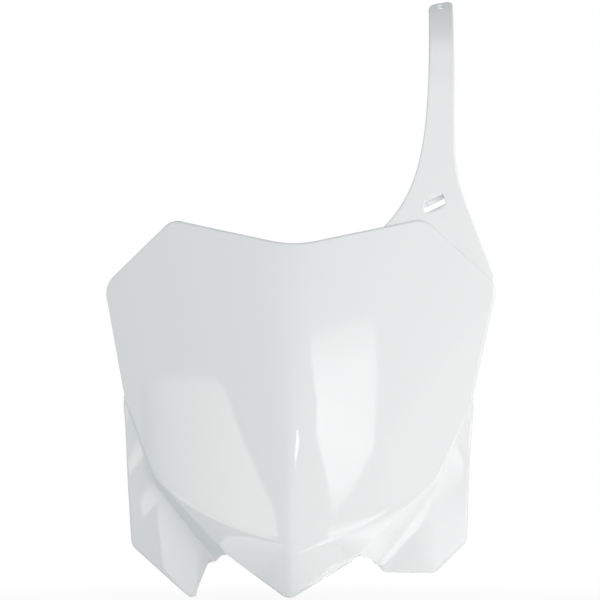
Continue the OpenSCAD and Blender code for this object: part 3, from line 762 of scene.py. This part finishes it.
def slot_outline(board):
    """Outline of the slot in u and z: a slanted parallelogram with rounded corners."""
    half, w = board.slot_l / 2, board.slot_w
    corners = [[-half - 0.2 * w, -w / 2], [half - 0.1 * w, -w / 2], [half, w / 2], [-half + 0.3 * w, w / 2]]
    return np.stack(board.at_slot(*rounded(corners, 1.2, 8).T), -1)


def button_outline(board):
    """Outline of the button hole in u and z, round along the leaning strap."""
    z = board.strap_top - board.button_in * math.cos(float(board.strap_angle(board.strap_top)))
    v = np.linspace(0, 2 * math.pi, 48, endpoint=False)
    r, tilt = board.button_d / 2, math.cos(float(board.strap_angle(z)))
    return np.stack([board.strap_at + r * np.cos(v), z + r * tilt * np.sin(v)], -1)


def hole_block(u, z, outline, margin):
    """First and last row and column of the grid that hold an outline with a margin round it."""
    low, high = outline.min(0) - margin, outline.max(0) + margin
    j, k = np.nonzero((u > low[0]) & (u < high[0]) & (z > low[1]) & (z < high[1]))
    rows, cols = u.shape
    return (
        max(1, j.min() - 1), min(rows - 2, j.max() + 1), max(1, k.min() - 1), min(cols - 2, k.max() + 1)
    )


def block_loop(index, j0, j1, k0, k1):
    """Points round a block of the grid, counter to the clock as seen with u right and z up."""
    return np.concatenate([
        index[j0, k0:k1], index[j0:j1, k1], index[j1, k1:k0:-1], index[j1:j0:-1, k0]
    ])


def match_ring(loop, outline):
    """Points of a closed outline, one for each point of a loop, in the nearest of 96 turns."""
    closed, lap = np.vstack([outline, outline[:1]]), marks(np.vstack([loop, loop[:1]]))
    starts = np.linspace(0, 1, 96, endpoint=False)
    rings = [along(closed, (lap[:-1] / lap[-1] + start) % 1) for start in starts]
    return min(rings, key=lambda ring: ((ring - loop) ** 2).sum())


def pierced_sheet(board):
    """Places in u and z, quads, outer loop and hole loops of the strap's sheet.

    Round each hole a block of the grid gives way to rings that turn evenly from the block's border into
    the hole's outline.
    """
    rows, cols, margin, steps = 261, 31, 1.1, 7
    u, z = board.strap_grid(cols, rows)
    index = np.arange(rows * cols).reshape(rows, cols)
    keep = np.ones((rows - 1, cols - 1), bool)
    flat, quads, holes, total = [np.stack([u.ravel(), z.ravel()], -1)], [], [], rows * cols
    t = np.arange(1, steps + 1)[:, None, None] / steps
    for outline in (slot_outline(board), button_outline(board)):
        j0, j1, k0, k1 = hole_block(u, z, outline, margin)
        keep[j0:j1, k0:k1] = False
        loop = block_loop(index, j0, j1, k0, k1)
        border = flat[0][loop]
        flat.append(mix(border, match_ring(border, outline), t).reshape(-1, 2))
        ids = np.concatenate([loop, total + np.arange(steps * len(loop))]).reshape(steps + 1, -1)
        following = np.roll(ids, -1, 1)
        quads.append(np.stack([ids[:-1], following[:-1], following[1:], ids[1:]], -1).reshape(-1, 4))
        holes.append(ids[-1])
        total += steps * len(loop)
    grid = np.stack([index[:-1, :-1], index[:-1, 1:], index[1:, 1:], index[1:, :-1]], -1)
    outer = block_loop(index, 0, rows - 1, 0, cols - 1)
    return np.concatenate(flat), np.concatenate([grid[keep]] + quads), outer, holes


# The clamp shelf's plate and webs


def shelf_plate(board):
    """Points and faces of the shelf with its boss and bolt hole.

    A closed profile of radius and height is carried round the hole. Its radius is a fixed part plus a
    share of the distance from the hole's middle to the shelf's outline.
    """
    half, reach, t = board.shelf_w / 2, board.shelf_l, board.shelf_t
    x = np.linspace(-half, half, 25)
    outline = np.vstack([
        np.stack([x, board.face(x, board.shelf_h) + board.wall / 2], -1),
        arc([half, 0], [half, reach], [0, reach], board.shelf_end_r),
        arc([0, reach], [-half, reach], [-half, 0], board.shelf_end_r),
    ])
    middle = np.array([0, board.bolt_at])
    ray = along(np.vstack([outline, outline[:1]]), np.linspace(0, 1, 240, endpoint=False)) - middle
    far = np.linalg.norm(ray, axis=1)[:, None]
    hole, boss, top = board.bolt_d / 2, board.boss_d / 2, t + board.boss_h
    edge, fillet = 0.5, 1.0
    v = np.linspace(0, math.pi / 2, 5)
    less_cos, less_sin, zero, one = 1 - np.cos(v), 1 - np.sin(v), np.zeros(5), np.ones(5)
    # Each row is the radius's fixed part, the share and the height
    fixed, share, height = np.hstack([
        (-edge * less_cos, one, t - edge * less_sin),
        ([(boss + fillet) / 2], [0.5], [t]),
        (boss + fillet * less_sin, zero, t + fillet * less_cos),
        (boss - edge * less_cos, zero, top - edge * less_sin),
        (hole + edge * less_sin, zero, top - edge * less_cos),
        (hole + edge * less_cos, zero, edge * less_sin),
        ([(boss + fillet) / 2], [0.5], [0]),
        (-edge * less_sin, one, edge * less_cos),
    ])
    radius = fixed + share * far
    flat = middle + (ray / far)[:, None] * radius[..., None]
    upright = np.broadcast_to(board.shelf_h + height[:, None], radius.shape + (1,))
    place = np.arange(radius.size).reshape(radius.shape)
    beside, below = np.roll(place, -1, 0), np.roll(place, -1, 1)
    faces = [np.stack([place, beside, np.roll(beside, -1, 1), below], -1).reshape(-1, 4)]
    return np.concatenate([flat, upright], -1).reshape(-1, 3), faces


def shelf_web(board, side):
    """Points and faces of the web on one side, which slants down from the shield's wall to the shelf."""
    inset, top_l, nose_h, toe_l = 1, 2, 1.5, 4
    x = side * (board.shelf_w / 2 - board.web_t / 2 - inset)
    shelf_top = board.shelf_h + board.shelf_t
    low, high = shelf_top - board.shelf_t / 2, shelf_top + board.web_h
    z = np.linspace(low, high, 12)
    wall_line = np.stack([board.face(x, z) + board.wall / 2, z], -1)
    top, nose = [wall_line[-1, 0] + top_l, high], [board.bolt_at, shelf_top + nose_h]
    toe = [board.bolt_at + toe_l, low]
    web, faces = rounded_plate(np.vstack([wall_line, top, nose, toe])[::-1], board.web_t, 0.3)
    return np.stack([x - board.web_t / 2 + web[:, 2], web[:, 0], web[:, 1]], -1), faces


# Materials


def new_material(name):
    """New material, its nodes and the function that links them."""
    material = bpy.data.materials.new(name)
    material.use_nodes = True
    return material, material.node_tree.nodes, material.node_tree.links.new


def set_inputs(node, **values):
    """Sets inputs of a node and gives the node; an underscore stands for a space in an input's name."""
    for name, value in values.items():
        node.inputs[name.replace("_", " ")].default_value = value
    return node


def attribute(nodes, name):
    """Socket of one of the mesh's own attributes."""
    node = nodes.new("ShaderNodeAttribute")
    node.attribute_name = name
    return node.outputs["Fac"]


def noise(nodes, link, place, scale, detail):
    """Socket of a noise over places, with scale features to a metre."""
    texture = set_inputs(nodes.new("ShaderNodeTexNoise"), Scale=scale, Detail=detail)
    link(place, texture.inputs["Vector"])
    return texture.outputs["Fac"]


def moulded_plastic():
    """Glossy white moulded plastic: polished front, duller back, and a faint tint, smears and flow."""
    found = bpy.data.materials.get("moulded_white")
    if found:
        return found
    look = bpy.context.scene.board_finish
    material, nodes, link = new_material("moulded_white")
    bsdf = set_inputs(nodes["Principled BSDF"], IOR=1.5, Metallic=0.0)
    place = nodes.new("ShaderNodeTexCoord").outputs["Object"]
    # Scale and detail of the noises for the tint, the smears in the polish and the flow of the moulding
    tint, smear, flow = (14, 3), (45, 5), (9, 1)
    colour = nodes.new("ShaderNodeMix")
    colour.data_type = "RGBA"
    colour.inputs[6].default_value = (*[c * 0.985 for c in look.white], 1)
    colour.inputs[7].default_value = (*look.white, 1)
    link(noise(nodes, link, place, *tint), colour.inputs[0])
    link(colour.outputs[2], bsdf.inputs["Base Color"])
    polish = set_inputs(nodes.new("ShaderNodeMapRange"), To_Min=look.gloss * 0.85, To_Max=look.gloss * 1.25)
    link(noise(nodes, link, place, *smear), polish.inputs["Value"])
    rough = nodes.new("ShaderNodeMix")
    rough.inputs[3].default_value = look.dull
    link(attribute(nodes, "inner"), rough.inputs[0])
    link(polish.outputs["Result"], rough.inputs[2])
    link(rough.outputs[0], bsdf.inputs["Roughness"])
    bump = set_inputs(nodes.new("ShaderNodeBump"), Strength=0.05, Distance=0.002)
    link(noise(nodes, link, place, *flow), bump.inputs["Height"])
    link(bump.outputs["Normal"], bsdf.inputs["Normal"])
    return material


# Studio


def direction(azimuth, elevation):
    """Unit vector from the board: azimuth turns to the viewer's right, elevation upwards."""
    a, e = math.radians(azimuth), math.radians(elevation)
    return Vector((math.sin(a) * math.cos(e), -math.cos(a) * math.cos(e), math.sin(e)))


def softbox(name, azimuth, elevation, distance, width, height, watts, colour, level):
    """Flat area lamp that faces the board."""
    data = bpy.data.lights.new(name, "AREA")
    data.shape = "RECTANGLE"
    data.size, data.size_y = width, height
    data.energy = watts * level
    data.color = colour
    lamp = add_object(name, data)
    away = direction(azimuth, elevation)
    lamp.location = Vector(MIDDLE) + away * distance
    lamp.rotation_euler = (-away).to_track_quat("-Z", "Y").to_euler()


def card(name, colour, rows, ends, level, lights=True):
    """Softly glowing strip through pairs of ends, each with its own brightness, out of the camera's sight.

    Without lights it shows in reflections only, and lets the lamps through to the floor under it.
    """
    mesh = bpy.data.meshes.new(name)
    mesh.from_pydata(ends, [], [(k, k + 1, k + 3, k + 2) for k in range(0, len(ends) - 2, 2)])
    glows = [glow * level for row in rows for glow in row[4:]]
    mesh.attributes.new("glow", "FLOAT", "POINT").data.foreach_set("value", glows)
    panel = add_object(name, mesh)
    panel.visible_camera = False
    panel.visible_diffuse = panel.visible_shadow = lights
    material, nodes, link = new_material(name)
    nodes.remove(nodes["Principled BSDF"])
    emit = set_inputs(nodes.new("ShaderNodeEmission"), Color=(*colour, 1))
    link(attribute(nodes, "glow"), emit.inputs["Strength"])
    link(emit.outputs[0], nodes["Material Output"].inputs["Surface"])
    mesh.materials.append(material)


def seen_white(nodes, link):
    """Socket that is 1 for camera, glossy and transmission rays and 0 for the others."""
    rays = nodes.new("ShaderNodeLightPath")
    socket = rays.outputs["Is Camera Ray"]
    for other in ("Is Glossy Ray", "Is Transmission Ray"):
        more = nodes.new("ShaderNodeMath")
        more.operation = "MAXIMUM"
        link(socket, more.inputs[0])
        link(rays.outputs[other], more.inputs[1])
        socket = more.outputs[0]
    return socket


def link_mixed(nodes, link, share, one, other, output):
    """Links one shader to an output, with the other mixed in by a share."""
    mixed = nodes.new("ShaderNodeMixShader")
    for socket, place in zip((share, one, other), mixed.inputs):
        link(socket, place)
    link(mixed.outputs[0], nodes[output].inputs["Surface"])


def make_air(level):
    """Dim bluish air for soft light; plain white where the camera, gloss or glass looks past the floor."""
    world = bpy.data.worlds.new("studio_air")
    bpy.context.scene.world = world
    world.use_nodes = True
    nodes, link = world.node_tree.nodes, world.node_tree.links.new
    air = set_inputs(nodes["Background"], Color=(0.93, 0.98, 1.0, 1), Strength=0.85 * level)
    white = set_inputs(nodes.new("ShaderNodeBackground"), Color=(1, 1, 1, 1))
    link_mixed(nodes, link, seen_white(nodes, link), air.outputs[0], white.outputs[0], "World Output")


def stage_square(name, half, height, material):
    """Level square of the stage round the origin."""
    mesh = bpy.data.meshes.new(name)
    corners = [(-half, -half, height), (half, -half, height), (half, half, height), (-half, half, height)]
    mesh.from_pydata(corners, [], [(0, 1, 2, 3)])
    mesh.materials.append(material)
    square = add_object(name, mesh)
    return square


def make_floor():
    """Wide pale floor below the board; it turns white away from the board, and keeps the shadow near it."""
    material, nodes, link = new_material("studio_floor")
    bsdf = set_inputs(
        nodes["Principled BSDF"], Base_Color=(0.8, 0.8, 0.8, 1), Roughness=0.9, Specular_IOR_Level=0.1
    )
    kinds = ("Emission", "SeparateXYZ", "CombineXYZ", "VectorMath", "MapRange", "Math")
    glow, split, flat, far, fade, share = (nodes.new("ShaderNode" + kind) for kind in kinds)
    link(nodes.new("ShaderNodeTexCoord").outputs["Object"], split.inputs[0])
    for axis in "XY":
        link(split.outputs[axis], flat.inputs[axis])
    far.operation = "LENGTH"
    link(flat.outputs[0], far.inputs[0])
    fade.interpolation_type = "SMOOTHSTEP"
    set_inputs(fade, From_Min=0.12, From_Max=0.42, To_Min=0.9, To_Max=1.0)
    link(far.outputs["Value"], fade.inputs["Value"])
    share.operation = "MULTIPLY"
    link(seen_white(nodes, link), share.inputs[0])
    link(fade.outputs["Result"], share.inputs[1])
    link_mixed(nodes, link, share.outputs[0], bsdf.outputs[0], glow.outputs[0], "Material Output")
    stage_square("floor", FLOOR_HALF, FLOOR, material)


def make_ceiling():
    """Dark cloth high above the board, out of the camera's sight."""
    material, nodes = new_material("dark_cloth")[:2]
    set_inputs(nodes["Principled BSDF"], Base_Color=(0.08, 0.085, 0.09, 1), Roughness=1.0)
    above = stage_square("dark_ceiling", CEILING_HALF, CEILING, material)
    above.visible_camera = False


def make_camera(distance, turn):
    """Camera that looks level at the board, turned to its right."""
    back = Vector((math.sin(turn), -math.cos(turn), 0))
    right = Vector((math.cos(turn), math.sin(turn), 0))
    data = bpy.data.cameras.new("studio_camera")
    data.lens = distance / VIEW_WIDTH * data.sensor_width
    data.clip_end = 100
    camera = add_object("studio_camera", data)
    camera.location = Vector(MIDDLE) + right * AIM_RIGHT + Vector((0, 0, AIM_UP)) + back * distance
    camera.rotation_euler = (-back).to_track_quat("-Z", "Y").to_euler()
    bpy.context.scene.camera = camera


# Operators


class BOARD_OT_shield(bpy.types.Operator):
    """Make the shield with its chin, lip and two wings"""

    bl_idname = "board.shield"
    bl_label = "Shield and wings"

    def execute(self, context):
        board = Board(context.scene)
        column_step, face_rows, flat_rows = 1.8, 40, 16
        front = board.shell(column_step, face_rows, flat_rows)
        heart = np.array([board.heart[0], board.face(*board.heart), board.heart[1]])
        before = np.concatenate([np.broadcast_to(heart, (len(front), 1, 3)), front[:, :-1]], 1)
        after = np.concatenate([front[:, 1:], front[:, -1:]], 1)
        around = np.roll(front, -1, 0) - np.roll(front, 1, 0)
        normal = unit(np.cross(after - before, around))
        end, up, r = front[:, -1:], normal[:, -1:], board.edge_r
        out = np.cross(unit(around[:, -1:]), up)
        v = np.radians(np.arange(15, 91, 15))[:, None]
        rim = end + out * r * np.sin(v) - up * r * (1 - np.cos(v))
        back = (front - board.wall * normal)[:, ::-1]
        # The flatter back does with every second row
        back = back[:, np.union1d(np.arange(0, back.shape[1], 2), back.shape[1] - 1)]
        rings = np.concatenate([front, rim, back], 1)
        count, ring = rings.shape[:2]
        points = np.concatenate([[heart, heart + [0, board.wall, 0]], rings.reshape(-1, 3)])
        first = 2 + np.arange(count) * ring
        following = np.roll(first, -1)
        faces = [
            closed_grid_faces(count, ring, 2),
            np.stack([np.zeros_like(first), first, following], -1),
            np.stack([np.ones_like(first), following + ring - 1, first + ring - 1], -1),
        ]
        inner = np.zeros(len(points))
        inner[1] = 1
        inner[2:].reshape(count, ring)[:, -back.shape[1]:] = 1
        put_mesh("shield", points, faces, inner)
        return {"FINISHED"}


class BOARD_OT_strap(bpy.types.Operator):
    """Make the strap with its slot and button hole"""

    bl_idname = "board.strap"
    bl_label = "Strap"

    def execute(self, context):
        board = Board(context.scene)
        flat, sheet, outer, holes = pierced_sheet(board)
        front, n = board.sheet_points(flat[:, 0], flat[:, 1])
        count, total = len(front), 2 * len(front)
        points, faces = [front, front - n * board.wall], [sheet, sheet[:, ::-1] + count]
        v = np.radians(np.arange(22.5, 180, 22.5))[:, None]
        for loop, bulge in [(outer, board.strap_edge)] + [(hole, 0) for hole in holes]:
            edge, up = front[loop][:, None], n[loop][:, None]
            out = unit(np.cross(np.roll(edge, -1, 0) - np.roll(edge, 1, 0), up))
            rim = edge - up * (1 - np.cos(v)) * board.wall / 2 + out * bulge * np.sin(v)
            rim_ids = total + np.arange(len(loop) * len(v)).reshape(len(loop), -1)
            ids = np.column_stack([loop, rim_ids, loop + count])
            following = np.roll(ids, -1, 0)
            wall = np.stack([ids[:, :-1], ids[:, 1:], following[:, 1:], following[:, :-1]], -1).reshape(-1, 4)
            faces.append(wall if bulge else wall[:, ::-1])
            points.append(rim.reshape(-1, 3))
            total += rim_ids.size
        points = np.concatenate(points)
        inner = np.zeros(len(points))
        inner[count:2 * count] = 1
        put_mesh("strap", board.to_board(*points.T), faces, inner)
        return {"FINISHED"}


class BOARD_OT_tongue(bpy.types.Operator):
    """Make the tongue that stands behind the slot"""

    bl_idname = "board.tongue"
    bl_label = "Slot tongue"

    def execute(self, context):
        board = Board(context.scene)
        half, end, foot, heel_r = board.tongue_w / 2, board.slot_l / 2, 2.2, 0.9
        v = np.linspace(-math.pi / 2, math.pi / 2, 17)
        bar = np.vstack([
            np.stack([end - half + half * np.cos(v), half * np.sin(v)], -1),
            arc([end, half], [-end - half, half], [-end - half, -half], heel_r, 5),
            arc([-end - half, half], [-end - half, -half], [end, -half], heel_r, 5),
        ])
        bar, bar_faces = rounded_plate(bar, board.tongue_t, 0.5)
        bar[:, 2] += board.tongue_gap
        corners = [[-end + foot, half], [-end - foot, half], [-end - foot, -half], [-end + foot, -half]]
        sunk, inset = board.wall / 2, 0.1
        post_h = sunk + board.tongue_gap + board.tongue_t - inset
        post, post_faces = rounded_plate(rounded(corners, 0.6, 4), post_h, 0.4)
        post[:, 2] -= sunk
        points, faces = join((bar, bar_faces), (post, post_faces))
        u, z = board.at_slot(points[:, 0], points[:, 1] + board.tongue_up)
        h = float(board.sheet(*board.at_slot(0, 0))) + board.wall + points[:, 2]
        put_mesh("slot_tongue", board.to_board(u, h, z), [f[:, ::-1] for f in faces], np.zeros(len(points)))
        return {"FINISHED"}


class BOARD_OT_shelf(bpy.types.Operator):
    """Make the clamp shelf with its boss, bolt hole and webs"""

    bl_idname = "board.shelf"
    bl_label = "Clamp shelf"

    def execute(self, context):
        board = Board(context.scene)
        points, faces = join(shelf_plate(board), shelf_web(board, -1), shelf_web(board, 1))
        nearly_dull = 0.6
        put_mesh("clamp_shelf", points, faces, np.full(len(points), nearly_dull))
        return {"FINISHED"}


class BOARD_OT_studio(bpy.types.Operator):
    """Make the floor, the lights and the camera"""

    bl_idname = "board.studio"
    bl_label = "Studio"

    def execute(self, context):
        studio = context.scene.board_studio
        context.scene.view_settings.view_transform = "Standard"
        make_floor()
        make_ceiling()
        make_air(studio.level)
        for row in SOFTBOXES:
            softbox(*row, studio.level)
        for name, colour, rows in FAR_CARDS:
            ends = [direction(*row[k:k + 2]) * FAR + Vector(MIDDLE) for row in rows for k in (0, 2)]
            card(name, colour, rows, ends, studio.level)
        for name, rise, colour, rows in FLOOR_CARDS:
            ends = [(*row[k:k + 2], FLOOR + rise / 1000) for row in rows for k in (0, 2)]
            card(name, colour, rows, ends, studio.level, rise < 2)
        make_camera(studio.distance, studio.azimuth)
        return {"FINISHED"}


class BOARD_PT_panel(bpy.types.Panel):
    """Lists the operators, and the sizes and looks that they read"""

    bl_idname = "BOARD_PT_panel"
    bl_label = "Number board"
    bl_space_type = "VIEW_3D"
    bl_region_type = "UI"
    bl_category = "Number board"

    def draw(self, context):
        for name in STEPS:
            self.layout.operator("board." + name)
        for name, kind in GROUPS.items():
            for key in kind.__annotations__:
                self.layout.prop(getattr(context.scene, name), key)


STEPS = ("shield", "strap", "tongue", "shelf", "studio")
GROUPS = {
    "board_shield": BoardShieldSizes,
    "board_wings": BoardWingSizes,
    "board_strap": BoardStrapSizes,
    "board_shelf": BoardShelfSizes,
    "board_slopes": BoardSlopes,
    "board_finish": BoardFinish,
    "board_studio": BoardStudio,
}
CLASSES = (
    *GROUPS.values(), BOARD_OT_shield, BOARD_OT_strap, BOARD_OT_tongue, BOARD_OT_shelf, BOARD_OT_studio,
    BOARD_PT_panel,
)


def register():
    for kind in CLASSES:
        bpy.utils.register_class(kind)
    for name, kind in GROUPS.items():
        setattr(bpy.types.Scene, name, PointerProperty(type=kind))


def unregister():
    for name in GROUPS:
        delattr(bpy.types.Scene, name)
    for kind in reversed(CLASSES):
        bpy.utils.unregister_class(kind)


def main():
    """Makes every piece and the studio."""
    register()
    for name in STEPS:
        getattr(bpy.ops.board, name)()


if __name__ == "__main__":
    main()
